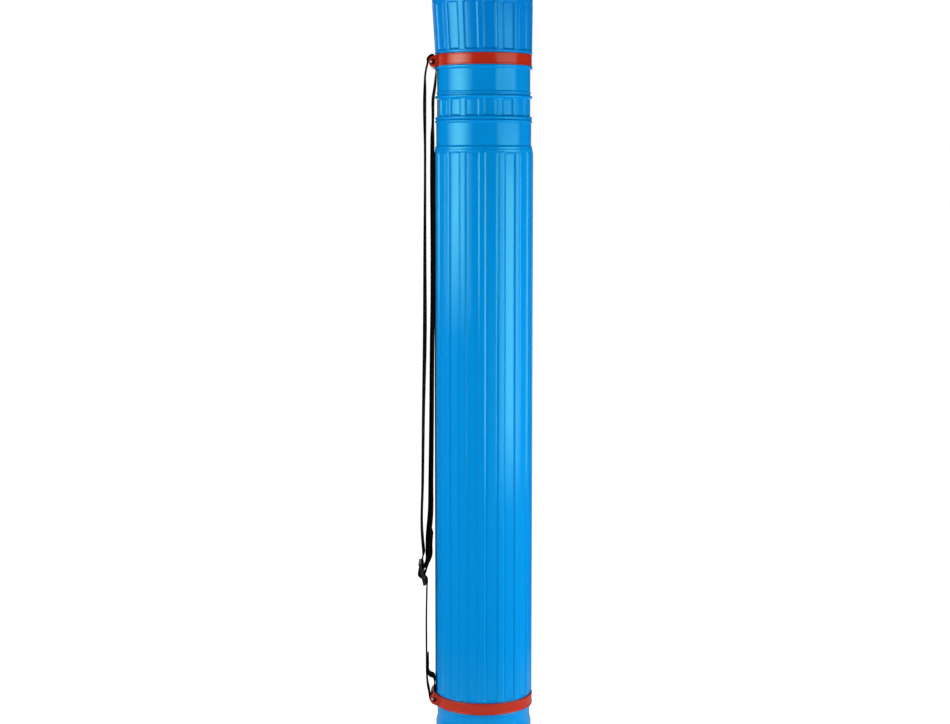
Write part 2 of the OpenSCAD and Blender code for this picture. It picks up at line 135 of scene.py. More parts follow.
# Webbing
WEB_W = 20.0
WEB_T = 1.4
WEB_GAP = 0.15
WEB_LAYER = WEB_T + 0.1  # height of one layer in a stack
HUG_R = WEB_GAP + WEB_T / 2  # middle of webbing that lies on a corner
WRAP_R = LUG_R + HUG_R
SIDE_R = rib_r + WEB_T / 2
CURL = 1.7  # how far its edges turn in over the upper lug
SEWN_UP = 25.9  # from the lower lug's middle up to the sewn overlap
SEWN_H = 17  # length of that overlap
WARP_PITCH = 1.25
WEFT_PITCH = 1.7
WEFT_SHIFT = 0.9  # how far a rib of yarn waves along the webbing, in radians of its pitch

# Slider
SLIDER_Z = 165.0
SLIDER_H = 23.0
SLIDER_T = 3
SLIDER_RHO = rib_r + 13
SLIDER_LEAN = math.radians(13)
BAR_R = 1.6  # radius of the slider's middle bar
JOIN_Z = SLIDER_Z + 20  # where the slider's webbing meets the runs above
LEAVE_Z = SLIDER_Z - 15  # where it meets the run below
OUT_JOIN = SLIDER_RHO - 1.4
IN_JOIN = SLIDER_RHO - 5.6
LOW_JOIN = SLIDER_RHO - 4.4
SQUASH_Z = up_lug_z - LUG_R - 0.4

# Colours, as linear values
BLUE = (0.0005, 0.272, 0.71)
BLUE_SHADE = (0.0004, 0.25, 0.67)
# The cap's blue is the body's blue made darker: painted shade for the dimmer light at the tube's top
CAP_BLUE_PAINTED_SHADE = (0.0005, 0.228, 0.68)
CAP_DRIFT_PAINTED_SHADE = (0.0004, 0.208, 0.64)
BLUE_TINT = (0.24, 1, 0.74, 1)
RED = (0.48, 0.024, 0.008)
RED_SHADE = (0.43, 0.019, 0.006)
RED_TINT = (1, 0.75, 0.6, 1)
BLACK = (0.012, 0.012, 0.013)
BLACK_SHADE = (0.018, 0.018, 0.019)
# The weave's grooves take the darker yarn colour: painted shade between the ribs of yarn
YARN = (0.0085, 0.0085, 0.009)
YARN_PAINTED_GROOVE_SHADE = (0.0022, 0.0022, 0.0024)
STEEL = (0.96, 0.96, 0.97)
STEEL_SHADE = (0.88, 0.88, 0.89)
WHITE = (1, 1, 1, 1)

# Studio: gloss sees a dark room in front of the tube and white behind it
FRONT_GLOSS = 0.02
BACK_WHITE = (0.93, 1.0)  # cosine of the angle to the back where the white begins, and where it is full


def smoothstep(t):
    """0 to 1 with soft ends."""
    t = np.clip(t, 0, 1)
    return t * t * (3 - 2 * t)


def arc(r, z, radius, start, end, steps=8):
    """Points of an arc in an outline, as (r, z, corner radius)."""
    angles = np.radians(np.linspace(start, end, steps + 1))
    return [(r + radius * math.cos(a), z + radius * math.sin(a), 0) for a in angles]


def ramp(t):
    """0 to 1 in a straight line whose two ends are rounded."""
    low = (np.clip(t + SOFT, 0, 2 * SOFT)) ** 2 / (4 * SOFT)
    high = (np.clip(1 + SOFT - t, 0, 2 * SOFT)) ** 2 / (4 * SOFT)
    return np.where(t < SOFT, low, np.where(t > 1 - SOFT, 1 - high, t))


def bead(wall_r, top_r, z, radius, below=0.6, above=0.6):
    """A round bead that stands out of a wall, with a fillet of its own on each side."""
    centre = top_r - radius
    feet = []
    turns = []
    for side, fillet in ((-1, below), (1, above)):
        reach = wall_r + fillet - centre
        off = math.sqrt((radius + fillet) ** 2 - reach**2)
        turn = side * math.degrees(math.atan2(off, reach))
        foot = arc(wall_r + fillet, z + side * off, fillet, 180, 180 + turn, 4)[:-1]
        feet.append(foot if fillet else [])
        turns.append(turn)
    return [*feet[0], *arc(centre, z, radius, *turns, 12), *reversed(feet[1])]


def rounded(points, steps=4):
    """An outline with its corners rounded; each point is (r, z, corner radius)."""
    out = []
    for i, (r, z, radius) in enumerate(points):
        p = np.array((r, z), float)
        if radius == 0 or i in (0, len(points) - 1):
            out.append(p)
            continue
        a = np.array(points[i - 1][:2]) - p
        b = np.array(points[i + 1][:2]) - p
        room = 0.49 * min(np.linalg.norm(a), np.linalg.norm(b))
        a /= np.linalg.norm(a)
        b /= np.linalg.norm(b)
        half = 0.5 * math.acos(np.clip(a @ b, -1, 1))
        reach = min(radius / math.tan(half), room)
        radius = reach * math.tan(half)
        centre = p + (a + b) / np.linalg.norm(a + b) * radius / math.sin(half)
        u = (p + a * reach - centre) / radius
        v = (p + b * reach - centre) / radius
        angle = math.acos(np.clip(u @ v, -1, 1))
        for t in np.linspace(0, 1, steps + 1):
            w = (math.sin((1 - t) * angle) * u + math.sin(t * angle) * v) / math.sin(angle)
            out.append(centre + w * radius)
    return np.array(out)


def with_levels(outline, levels):
    """The outline with a point added wherever it crosses one of the levels."""
    apart = 0.02  # a level closer than this to a point of the outline adds none
    out = [outline[0]]
    for p, q in zip(outline[:-1], outline[1:]):
        low, high = sorted((p[1], q[1]))
        crossed = [z for z in levels if low + apart < z < high - apart]
        crossed.sort(reverse=bool(p[1] > q[1]))
        out += [p + (q - p) * (z - p[1]) / (q[1] - p[1]) for z in crossed]
        out.append(q)
    return np.array(out)


def panel_levels(zones):
    """Heights of the rows that a panel's two ends need."""
    near = END_SLOPE * np.array((-0.62, -0.45, -0.25, 0, 0.25, 0.45, 0.55, 0.65, 0.75, 0.9, 1.3, 2))
    return [z for lo, hi in zones for step in near for z in (lo + step, hi - step)]


def pressed(off, z, radius, half, zones, crease=0):
    """0 outside the panels and 1 inside them. A panel begins where off, the angle from a rib's
    middle, passes half. Both are negative for the hollow behind a rib. The crease runs along the
    foot of each slope."""
    side = np.radians(off - half) * radius
    share = np.zeros(np.broadcast(side, z).shape)
    for lo, hi in zones:
        end = np.minimum(z - lo, hi - z) * FLANK / END_SLOPE
        inward = PANEL_CORNER - np.hypot(
            PANEL_CORNER - np.minimum(side, PANEL_CORNER), PANEL_CORNER - np.minimum(end, PANEL_CORNER)
        )
        foot = crease * np.exp(-(((inward - 0.5 * FLANK - 0.6 * CREASE_W) / CREASE_W) ** 2))
        share = np.maximum(share, ramp(inward / FLANK + 0.5) + foot)
    return share


def angle_off(theta, middle, pitch):
    """How far an angle is from the nearest of the places that repeat round the tube."""
    return np.abs((theta - middle + pitch / 2) % pitch - pitch / 2)


def column_angles(turn, extra=()):
    """Angles of a tube's columns, close together on the flanks of the ribs."""
    per_mm = math.degrees(1 / rib_r)
    near = (-1.35, -1.1, -0.85, -0.6, -0.3, 0, 0.3, 0.6, 0.85, 1.1, 1.4, 1.75)
    half = [1.7, *(RIB_HALF + step * per_mm for step in near), 6.4, 8.6]
    steps = [-a for a in reversed(half)] + [0] + half + [PITCH / 2]
    angles = [turn + k * PITCH + s for k in range(RIB_COUNT) for s in steps]
    return np.sort(np.array([*angles, *extra]) % 360)


def make_object(name, verts, faces, material):
    """A smooth-shaded object from points in millimetres."""
    mesh = bpy.data.meshes.new(name)
    mesh.from_pydata((np.asarray(verts) * MM).tolist(), [], faces)
    mesh.update()
    mesh.materials.append(material)
    mesh.polygons.foreach_set("use_smooth", [True] * len(mesh.polygons))
    obj = bpy.data.objects.new(name, mesh)
    bpy.context.scene.collection.objects.link(obj)
    return obj


def even_normals(obj):
    """Lets the large faces set the shading beside small rounded edges."""
    modifier = obj.modifiers.new("normals", "WEIGHTED_NORMAL")
    modifier.weight = 70
    modifier.keep_sharp = False
    return obj


def row_faces(rows, columns):
    """Faces between rows of vertices, where each row closes round on itself."""
    return [
        (i * columns + j, i * columns + (j + 1) % columns,
         (i + 1) * columns + (j + 1) % columns, (i + 1) * columns + j)
        for i in range(rows - 1)
        for j in range(columns)
    ]


def grid_mesh(grid, first_pole, last_pole):
    """Vertices and faces of rows of columns that close round; a pole row becomes one point.
    With no poles, the last row joins the first."""
    columns = grid.shape[1]
    body = grid[int(first_pole):len(grid) - int(last_pole)]
    verts = [p for row in body for p in row]
    faces = row_faces(len(body), columns)
    last = (len(body) - 1) * columns
    if first_pole:
        verts.append(grid[0, 0])
        faces += [(len(verts) - 1, (j + 1) % columns, j) for j in range(columns)]
    if last_pole:
        verts.append(grid[-1, 0])
        faces += [(len(verts) - 1, last + j, last + (j + 1) % columns) for j in range(columns)]
    if not (first_pole or last_pole):
        faces += [(last + j, last + (j + 1) % columns, (j + 1) % columns, j) for j in range(columns)]
    return verts, faces


def lathe(name, material, turn, outer, inner, zones=(), backs=(), extra=(), shape=None, lean=0):
    """A fluted shell: its outer outline runs up and its inner outline runs down. The panels of zones
    are pressed into the outside, and the hollows of backs into the inside. Where the outer outline
    ends on the axis, the inner one starts there too. The top stands off to the strap's side by lean."""
    theta = column_angles(turn, extra)
    off = angle_off(theta, turn, PITCH)
    outer = with_levels(outer, panel_levels(zones))
    inner = with_levels(inner, panel_levels(backs))
    parts = [(outer, True), (inner, False)]
    if outer[-1, 0] == 0:
        parts.reverse()
    rows = np.vstack([outline for outline, _ in parts])
    outside = np.concatenate([np.full(len(outline), is_outer) for outline, is_outer in parts])[:, None]
    r, z = rows[:, :1], rows[:, 1:]
    radius = r - FLUTE * np.where(outside, pressed(off, z, r, RIB_HALF, zones, CREASE), 0)
    radius = radius + FLUTE * np.where(outside, 0, pressed(-off, z, r, -BACK_HALF, backs))
    if shape:
        radius = shape(radius, theta, z, outside)
    angle = np.radians(theta)
    x = radius * np.sin(angle) - lean * (z - z.min()) / np.ptp(z)
    y = -radius * np.cos(angle)
    grid = np.stack((x, y, np.broadcast_to(z, x.shape)), axis=-1)
    return even_normals(make_object(name, *grid_mesh(grid, r[0, 0] == 0, r[-1, 0] == 0), material))


def add_node(tree, kind, inputs=None, **settings):
    """A node whose inputs are linked to sockets or set to values."""
    made = tree.nodes.new(kind)
    for key, value in settings.items():
        setattr(made, key, value)
    for key, value in (inputs or {}).items():
        if isinstance(value, bpy.types.NodeSocket):
            tree.links.new(value, made.inputs[key])
        else:
            made.inputs[key].default_value = value
    return made


def math_node(tree, operation, first, second=None):
    """The result of one operation on sockets or numbers."""
    inputs = {0: first} if second is None else {0: first, 1: second}
    return add_node(tree, "ShaderNodeMath", inputs, operation=operation).outputs[0]


def noise(tree, where, scale, detail=2.0, stretch=(1, 1, 1)):
    """A noise value over the object, with features of about 1 / scale metres."""
    placed = add_node(tree, "ShaderNodeMapping", {"Vector": where, "Scale": stretch})
    inputs = {"Vector": placed.outputs[0], "Scale": scale, "Detail": detail}
    return add_node(tree, "ShaderNodeTexNoise", inputs).outputs["Fac"]


def between(tree, value, low, high):
    """A 0 to 1 value spread over a range."""
    made = add_node(tree, "ShaderNodeMapRange", {"Value": value, "To Min": low, "To Max": high})
    return made.outputs["Result"]


def soft_range(tree, value, start, end, first, last):
    """Goes smoothly from first to last while the value goes from start to end."""
    inputs = {"Value": value, "From Min": start, "From Max": end, "To Min": first, "To Max": last}
    return add_node(tree, "ShaderNodeMapRange", inputs, interpolation_type="SMOOTHSTEP").outputs["Result"]


def bump(tree, height, distance, normal=None):
    """A normal for a height map whose relief is distance deep, on top of another normal."""
    inputs = {"Height": height, "Distance": distance}
    if normal is not None:
        inputs["Normal"] = normal
    return add_node(tree, "ShaderNodeBump", inputs).outputs["Normal"]


def edge_normal(tree, radius):
    """A normal that rounds the piece's sharp edges."""
    return add_node(tree, "ShaderNodeBevel", {"Radius": radius}, samples=6).outputs[0]


def mixed_colour(tree, value, first, second):
    """The first colour where the value is 0, and the second where it is 1."""
    made = add_node(tree, "ShaderNodeMix", data_type="RGBA")
    tree.links.new(value, made.inputs["Factor"])
    made.inputs[6].default_value = (*first, 1)
    made.inputs[7].default_value = (*second, 1)
    return made.outputs[2]


def new_material(name):
    """A material with one shader, and the place on the object for its patterns."""
    material = bpy.data.materials.new(name)
    material.use_nodes = True
    tree = material.node_tree
    tree.nodes.clear()
    shader = tree.nodes.new("ShaderNodeBsdfPrincipled")
    output = tree.nodes.new("ShaderNodeOutputMaterial")
    tree.links.new(shader.outputs[0], output.inputs["Surface"])
    where = tree.nodes.new("ShaderNodeTexCoord").outputs["Object"]
    return material, tree, shader, where


def plastic(name, colour, shade, gloss, wave=0.00025, edge=0.0, tint=WHITE):
    """Moulded plastic: a slow drift of colour and gloss, faint waves from the mould and a fine skin.
    Its roughness lies in the range of gloss, and edge is the radius of its rounded edges."""
    material, tree, shader, where = new_material(name)
    drift = noise(tree, where, scale=9, detail=3, stretch=(1, 1, 0.35))
    tree.links.new(mixed_colour(tree, drift, colour, shade), shader.inputs["Base Color"])
    haze = noise(tree, where, scale=30, detail=4, stretch=(1, 1, 0.3))
    tree.links.new(between(tree, haze, *gloss), shader.inputs["Roughness"])
    normal = edge_normal(tree, edge) if edge else None
    waves = noise(tree, where, scale=22, detail=1, stretch=(1, 1, 0.4))
    skin = noise(tree, where, scale=1400)
    normal = bump(tree, skin, distance=0.00001, normal=bump(tree, waves, wave, normal))
    tree.links.new(normal, shader.inputs["Normal"])
    shader.inputs["Specular IOR Level"].default_value = 1.0
    shader.inputs["Specular Tint"].default_value = tint
    return material


def steel(name):
    """Bright drawn steel with fine scratches along the pin."""
    material, tree, shader, where = new_material(name)
    shader.inputs["Metallic"].default_value = 0.45
    streaks = noise(tree, where, scale=900, detail=3, stretch=(1, 0.05, 1))
    tree.links.new(mixed_colour(tree, streaks, STEEL_SHADE, STEEL), shader.inputs["Base Color"])
    tree.links.new(between(tree, streaks, 0.2, 0.34), shader.inputs["Roughness"])
    normal = bump(tree, streaks, distance=0.00002, normal=edge_normal(tree, 0.0003))
    tree.links.new(normal, shader.inputs["Normal"])
    return material


def webbing_material(name):
    """Black woven webbing: ribs of yarn across its face, from the piece's own map in millimetres, with
    painted shade in the grooves between them.
    """
    material, tree, shader, where = new_material(name)
    uv = add_node(tree, "ShaderNodeUVMap", uv_map="weave").outputs[0]
    split = add_node(tree, "ShaderNodeSeparateXYZ", {"Vector": uv})
    across = math_node(tree, "MULTIPLY", split.outputs["X"], math.pi / WARP_PITCH)
    along = math_node(tree, "MULTIPLY", split.outputs["Y"], math.pi / WEFT_PITCH)
    warp_wave = math_node(tree, "SINE", across)
    shifted = math_node(tree, "ADD", along, math_node(tree, "MULTIPLY", warp_wave, WEFT_SHIFT))
    weft_ridge = math_node(tree, "ABSOLUTE", math_node(tree, "SINE", shifted))
    weave = math_node(tree, "MULTIPLY", math_node(tree, "ABSOLUTE", warp_wave), weft_ridge)
    fibre = noise(tree, where, scale=2600, detail=3)
    tree.links.new(mixed_colour(tree, weave, YARN_PAINTED_GROOVE_SHADE, YARN), shader.inputs["Base Color"])
    tree.links.new(between(tree, fibre, 0.55, 0.8), shader.inputs["Roughness"])
    normal = bump(tree, fibre, distance=0.00005, normal=bump(tree, weave, distance=0.00035))
    tree.links.new(normal, shader.inputs["Normal"])
    shader.inputs["Specular IOR Level"].default_value = 0.06
    return material


blue = plastic("blue_moulded", BLUE, BLUE_SHADE, gloss=(0.09, 0.13), tint=BLUE_TINT)
# The cap takes a darker copy of the blue plastic: painted shade for the dimmer light at the top
blue_painted_shade_cap = plastic("blue_cap_painted_shade", CAP_BLUE_PAINTED_SHADE, CAP_DRIFT_PAINTED_SHADE, gloss=(0.09, 0.13), tint=BLUE_TINT)
red = plastic("red_moulded", RED, RED_SHADE, gloss=(0.13, 0.18), wave=0.0001, edge=0.0007, tint=RED_TINT)
black = plastic("black_moulded", BLACK, BLACK_SHADE, gloss=(0.3, 0.42), wave=0.0001)
steel_pin = steel("steel_pin")
webbing = webbing_material("black_webbing")


def place(piece, body, slot, *nodes):
    """Makes a new piece move with a body and stand for CAD nodes."""
    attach(piece, body)
    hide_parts(*nodes)


def dress(node, material):
    """Gives a CAD node that stays its material."""
    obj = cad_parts[node]
    obj.data.materials.clear()
    obj.data.materials.append(material)
    obj.data.polygons.foreach_set("use_smooth", [True] * len(obj.data.polygons))
    obj.data.set_sharp_from_angle(angle=math.radians(28))


def build_outer_tube():
    """Foot, waist, ring groove, fluted body, shoulder and neck, with the bore inside."""
    corner = 6
    foot_wall = 1.6
    foot_top = 9
    waist_z = 15.4
    panel_top = BODY_H - SHOULDER_H
    outer = rounded([
        (0, 0, 0), (FOOT_R - corner - 1.5, 0, 0),
        *arc(FOOT_R - corner, corner, corner, -88, 0),
        (FOOT_R, foot_top, 3), (WAIST_R, waist_z, 3),
        *bead(WAIST_R, FOOT_R, GROOVE_LO - BEAD_R, BEAD_R, 1, 0),
        (SEAT_R, GROOVE_LO, 0.2), (SEAT_R, GROOVE_HI, 0.2),
        (rib_r - 1.4, GROOVE_HI, 0.3), (rib_r - 0.4, GROOVE_HI + 1.1, 1),
        (rib_r, GROOVE_HI + BODY_EDGE, 1.5), (rib_r, panel_top - 0.4, 0.4),
        (rib_r - 0.55, panel_top + 0.4, 0.5), (rib_r - 0.5, panel_top + 2.2, 0.5),
        (rib_r - 0.85, panel_top + 3.2, 0.5), (rib_r - 0.8, panel_top + 5, 0.8), (NECK_R, BODY_H, 0.4),
        *bead(NECK_R, NECK_R + 1.1, rim_z - BEAD_R, BEAD_R, 0.6, 0), (NECK_R, rim_z, 0),
    ])
    groove_bore = SEAT_R - WALL
    inner = rounded([
        (NECK_BORE_R + 0.3, rim_z, 0), (NECK_BORE_R, rim_z - 0.3, 0),
        (NECK_BORE_R, BODY_H, 0.5), (BODY_BORE_R, BODY_H - 2.4, 0.5),
        (BODY_BORE_R, GROOVE_HI + BODY_EDGE + WALL, 1), (groove_bore, GROOVE_HI, 0.5),
        (groove_bore, GROOVE_LO, 0.5), (WAIST_R - WALL, waist_z, 2), (FOOT_R - foot_wall, foot_top, 2),
        *reversed(arc(FOOT_R - corner, corner, corner - foot_wall, -88, 0)), (0, foot_wall, 0),
    ])
    body_zone = [(GROOVE_HI + 1.8, panel_top)]
    back_zone = [(GROOVE_HI + BODY_EDGE + WALL, panel_top)]
    key_lo = BODY_H + 3
    key_hi = BODY_H + 11
    key_half = 4.4  # half a key's width, in degrees
    key_depth = 1.0

    def keyed(radius, theta, z, outside):
        """Adds the four keys that stand in the neck, in the middle of the inner tube's panels."""
        off = angle_off(theta, SLIDE_TURN + PITCH / 2, 90)
        side = smoothstep((key_half - off) / 0.5 + 0.5)
        ends = smoothstep(np.minimum(z - key_lo, key_hi - z) / 0.4 + 0.5)
        return radius - key_depth * np.where(outside, 0, side * ends)

    long_rows = np.arange(60, BODY_H - 20, 22)
    key_rows = [z + step for z in (key_lo, key_hi) for step in (-0.3, -0.1, 0.1, 0.3)]
    outer = with_levels(outer, long_rows)
    inner = with_levels(inner, key_rows)
    return lathe("outer_tube_body", blue, RIB_TURN, outer, inner, body_zone, back_zone, shape=keyed)


def build_inner_tube():
    """The sliding tube with its bands, beads, flange and neck, open at both ends."""
    small_bead_r = 1.4
    stop_bead_z = rim_z + BEAD_R
    grip_lo = rim_z + 4
    grip_hi = grip_lo + 16.4
    big_bead_z = grip_hi + 2.2
    small_bead_z = big_bead_z + 4.2
    flange_z = UP_RING_Z - 3.2
    flange_r = NECK_R + 1.15
    stop_lo = STOP_BAND_Z
    stop_hi = STOP_BAND_Z + BAND_H
    margin = 1.5
    outer = rounded([
        (GUIDE_R - 1, end_z, 0), (GUIDE_R, end_z + 1, 0.6),
        (GUIDE_R, end_z + BAND_H - 1, 0.5), (SLIDE_R, end_z + BAND_H, 0.5),
        (SLIDE_R, stop_lo, 0.4), (GUIDE_R, stop_lo + 1, 0.5), (GUIDE_R, stop_hi, 0.4),
        (SLIDE_R, stop_hi, 0.4), (SLIDE_R, rim_z, 0.1), (NECK_R - 0.3, rim_z, 0.15),
        *bead(HEAD_R, NECK_R + 0.95, stop_bead_z, BEAD_R, 0),
        *bead(HEAD_R, NECK_R + 1.05, big_bead_z, BEAD_R, 0.5, 0.3),
        *bead(HEAD_R, HEAD_R + 0.8, small_bead_z, small_bead_r, 0.3, 0.8),
        (HEAD_R, flange_z, 0.9), (flange_r - 0.5, flange_z, 0.2),
        (flange_r, flange_z + 0.9, 0.8), (flange_r, UP_RING_Z - 0.9, 0.8),
        (flange_r - 0.5, UP_RING_Z, 0.3), (UP_SEAT_R, UP_RING_Z, 0.2),
        (UP_SEAT_R, mouth_z - 0.6, 0.4), (UP_SEAT_R - 0.6, mouth_z, 0.3),
    ])
    mouth_bore = UP_SEAT_R - 1.3
    guide_bore = GUIDE_R - WALL
    inner = rounded([
        (mouth_bore + 0.3, mouth_z, 0), (mouth_bore, mouth_z - 0.4, 0.3),
        (mouth_bore, flange_z, 1), (SLIDE_BORE_R, flange_z - 2, 1),
        (SLIDE_BORE_R, stop_hi, 1), (guide_bore, stop_hi - 2, 1),
        (guide_bore, stop_lo + 2, 1), (SLIDE_BORE_R, stop_lo, 1),
        (SLIDE_BORE_R, end_z + BAND_H, 1), (guide_bore, end_z + BAND_H - 2, 1),
        (guide_bore, end_z, 0),
    ])
    low_zone = (end_z + BAND_H + margin, stop_lo - margin)
    long_zone = (stop_hi + margin, rim_z - margin)
    notch_half = 10.8
    notch_x = HEAD_R + 0.1

    def notched(radius, theta, z, outside):
        """Cuts the gap in the flange that lets the webbing down."""
        angle = np.radians(theta - STRAP_SIDE)
        near = (np.abs(angle) < 1) & outside & (z > flange_z - 0.5) & (z < UP_RING_Z + 0.5)
        inside = near & (np.abs(radius * np.sin(angle)) < notch_half)
        return np.where(inside, np.minimum(radius, notch_x / np.cos(angle)), radius)

    long_rows = np.arange(150, rim_z - 20, 24)
    outer = with_levels(outer, long_rows)
    edge = math.degrees(math.asin(notch_half / flange_r))
    extra = [STRAP_SIDE + side * (edge + step) for side in (-1, 1) for step in (-0.06, 0.06)]
    zones = [low_zone, long_zone, (grip_lo, grip_hi)]
    return lathe("inner_tube_body", blue, SLIDE_TURN, outer, inner, zones, [long_zone], extra, notched)


def build_cap():
    """The push-on cap: a rim, flutes that widen a little to the top, and a shallow dish."""
    low_r = cap_top_r - 1.9
    inner_r = UP_SEAT_R + 0.4
    corner = 3
    rim_top = cap_z + 2.8
    dish_z = top_z - 0.8
    under_z = top_z - 2.4
    outer = rounded([
        (inner_r + 0.3, cap_z, 0), (low_r - 0.4, cap_z, 0.3), (low_r + 0.4, cap_z + 0.8, 0.6),
        (low_r + 0.4, cap_z + 2, 0.6), (low_r, rim_top, 0.4),
        *arc(cap_top_r - corner, top_z - corner, corner, 0, 90),
        (cap_top_r - 9, top_z, 0.8), (cap_top_r - 10.6, dish_z, 0.8), (0, dish_z, 0),
    ])
    shrink = FLUTE + 1.3
    inner = rounded([
        (0, under_z, 0), (UP_SEAT_R - 3.5, under_z, 0.4), (UP_SEAT_R - 3, mouth_z, 0.4),
        (cap_top_r - shrink - 2, mouth_z, 0.5), (cap_top_r - shrink, mouth_z - corner, 2),
        (inner_r, rim_top, 0.5), (inner_r, cap_z, 0),
    ])
    zones = [(cap_z + 3.3, top_z - 9.9)]
    return lathe("cap_shell", blue_painted_shade_cap, CAP_TURN, outer, inner, zones, lean=CAP_LEAN)


def build_pin(name, body, lug_z):
    """A steel pin with domed ends, along the lug."""
    columns = 24
    rho = (BAR_IN + LUG_RHO + LUG_R) / 2
    bulge = (PIN_R**2 + PIN_DOME**2) / (2 * PIN_DOME)
    end = [(bulge * math.sin(a), PIN_HALF - bulge + bulge * math.cos(a))
           for a in np.linspace(0, math.asin(PIN_R / bulge), 6)]
    outline = [*((r, y) for r, y in end), *((r, -y) for r, y in reversed(end))]
    angles = np.radians(np.arange(columns) * 360 / columns)
    grid = np.array([
        [(-rho + r * math.cos(a), y, lug_z + r * math.sin(a)) for a in angles] for r, y in outline
    ])
    piece = make_object(name, *grid_mesh(grid, True, True), steel_pin)
    place(piece, body, "steel_pin", name.replace("_mesh", ""))


def smooth_path(points, step=1.0):
    """A smooth curve through the points, cut into even steps. A point is (distance from the
    axis, height, twist in degrees)."""
    p = np.array(points, float)
    seg = np.diff(p, axis=0)
    size = np.linalg.norm(seg[:, :2], axis=1)
    rate = seg / size[:, None]
    before, after = size[:-1, None], size[1:, None]
    middle = (rate[:-1] * after + rate[1:] * before) / (before + after)
    slope = np.vstack((rate[:1], middle, rate[-1:]))
    dense = []
    for i in range(len(seg)):
        t = np.linspace(0, 1, max(3, int(size[i] / step * 4)), endpoint=False)[:, None]
        dense.append(
            p[i] * (2 * t**3 - 3 * t**2 + 1) + p[i + 1] * (3 * t**2 - 2 * t**3)
            + slope[i] * size[i] * (t**3 - 2 * t**2 + t) + slope[i + 1] * size[i] * (t**3 - t**2)
        )
    dense = np.vstack((*dense, p[-1:]))
    length = np.concatenate(([0], np.cumsum(np.linalg.norm(np.diff(dense[:, :2], axis=0), axis=1))))
    even = np.linspace(0, length[-1], max(2, int(round(length[-1] / step)) + 1))
    return np.stack([np.interp(even, length, dense[:, k]) for k in range(3)], axis=1), even


def ribbon_section():
    """Half-round edges and a slightly ribbed face, as (across, out) in millimetres."""
    half = WEB_T / 2
    edge = WEB_W / 2 - half
    ridge_h = 0.05
    ridge_w = 2.4
    across = np.linspace(-edge, edge, 19)
    ridge = ridge_h * np.cos(across * math.pi / ridge_w) - ridge_h
    face = [(a, half + h) for a, h in zip(across, ridge)]
    turn = np.radians(np.linspace(90, -90, 7)[1:-1])
    right = [(edge + half * math.cos(a), half * math.sin(a)) for a in turn]
    back = [(-a, -o) for a, o in face]
    left = [(-a, -o) for a, o in right]
    return np.array([*face, *right, *back, *left])


def ribbon(path, lengths, curl=None):
    """Vertices, faces and weave map of a webbing along a path on the strap's side."""
    section = ribbon_section()
    tangent = np.gradient(path[:, :2], axis=0)
    tangent /= np.linalg.norm(tangent, axis=1)[:, None]
    normal = np.stack((-tangent[:, 1], tangent[:, 0]), axis=1)
    twist = np.radians(path[:, 2])
    across, out = section[:, 0], section[:, 1]
    wide = across[None] * np.cos(twist)[:, None] - out[None] * np.sin(twist)[:, None]
    off = across[None] * np.sin(twist)[:, None] + out[None] * np.cos(twist)[:, None]
    if curl is not None:
        off = off - curl(path)[:, None] * (across[None] / (WEB_W / 2)) ** 2
    rho = path[:, :1] + normal[:, :1] * off
    z = path[:, 1:2] + normal[:, 1:2] * off
    verts = np.stack((-rho, wide, z), axis=-1)
    rows, columns = verts.shape[:2]
    faces = row_faces(rows, columns)
    faces.append(tuple(range(columns - 1, -1, -1)))
    faces.append(tuple((rows - 1) * columns + j for j in range(columns)))
    uv = np.stack(np.broadcast_arrays(across[None], lengths[:, None]), axis=-1)
    return verts.reshape(-1, 3), faces, uv.reshape(-1, 2)


def webbing_object(name, strips):
    """One piece of webbing from one or more ribbons."""
    verts, faces, uvs = [], [], []
    for v, f, uv in strips:
        base = len(verts)
        verts += v.tolist()
        uvs += uv.tolist()
        faces += [tuple(base + k for k in face) for face in f]
    obj = make_object(name, verts, faces, webbing)
    layer = obj.data.uv_layers.new(name="weave")
    corner = np.zeros(len(obj.data.loops), np.int64)
    obj.data.loops.foreach_get("vertex_index", corner)
    layer.data.foreach_set("uv", np.array(uvs)[corner].ravel())
    obj.data.set_sharp_from_angle(angle=math.radians(50))
    return obj


def polar(rho, z, radius, start, end, steps):
    """Points of webbing round a bar, as (distance from the axis, height, twist)."""
    return [(r, h, 0) for r, h, _ in arc(rho, z, radius, start, end, steps)]


def at_slider(s, n):
    """A point of the slider's frame: s runs up the slider, n runs out from the tube."""
    return (
        SLIDER_RHO + s * math.sin(SLIDER_LEAN) + n * math.cos(SLIDER_LEAN),
        SLIDER_Z + s * math.cos(SLIDER_LEAN) - n * math.sin(SLIDER_LEAN),
    )


def round_bar(radius, start, end, steps):
    """Points round the slider's middle bar; the angle is 0 upwards and 90 outwards."""
    angles = np.radians(np.linspace(start, end, steps + 1))
    return [(*at_slider(radius * math.cos(a), radius * math.sin(a)), 0) for a in angles]


def squash_run(piece):
    """Gives a stretch of webbing above the slider a mesh of its own."""
    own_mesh(piece)


